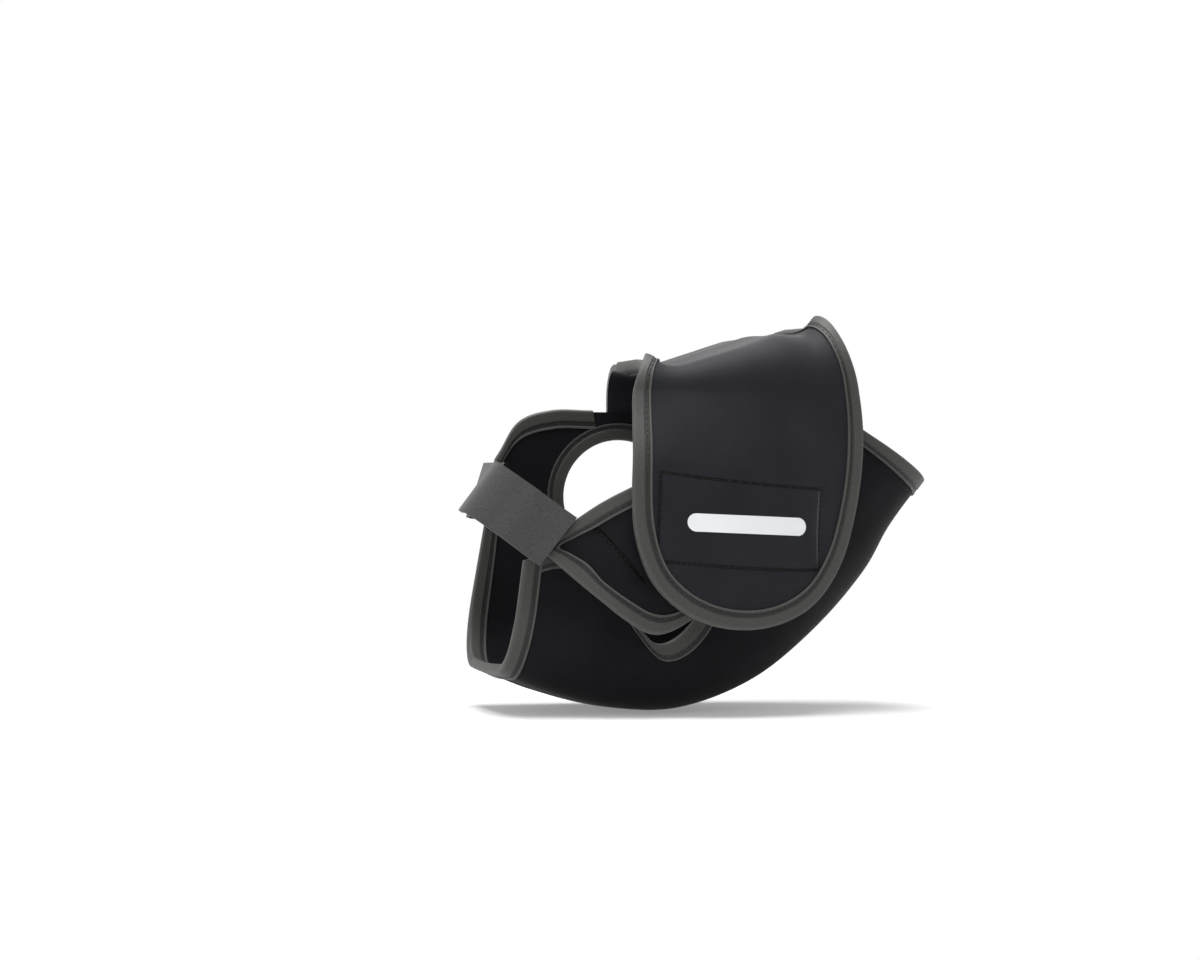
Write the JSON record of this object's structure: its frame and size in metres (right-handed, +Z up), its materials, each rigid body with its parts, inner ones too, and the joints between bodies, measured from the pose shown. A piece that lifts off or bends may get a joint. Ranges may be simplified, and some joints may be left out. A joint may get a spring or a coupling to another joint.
{
  "type": "e-bike motor cover",
  "caption": "Black foam rubber wrap cover for a mid motor, with taped edges, a top flap that hangs over the crank, a pointed tongue and a hook and loop strap, in its worn shape.",
  "frame": {"origin": "crank axle's axis where it crosses the bicycle's middle plane", "axes": "+X to the front wheel, +Z up, drive side at -Y, far side at +Y"},
  "size_m": [0.2369, 0.1531, 0.1854],
  "materials": {
    "neoprene_body": "matte",
    "neoprene_flap": "matte",
    "binding_tape": "matte",
    "strap_webbing": "matte",
    "hook_tape": "matte"
  },
  "bodies": {
    "root": {"body_panel": "neoprene_body", "top_flap": "neoprene_flap", "tongue": "neoprene_body", "wrap_strap": "strap_webbing", "flap_binding": "binding_tape", "tongue_binding": "binding_tape", "front_binding": "binding_tape", "rear_binding": "binding_tape", "slot_binding": "binding_tape", "crank_hole_binding": "binding_tape", "flap_hook_patch": "hook_tape", "tongue_hook_patch": "hook_tape", "strap_hook_patch": "hook_tape"}
  },
  "joints": []
}
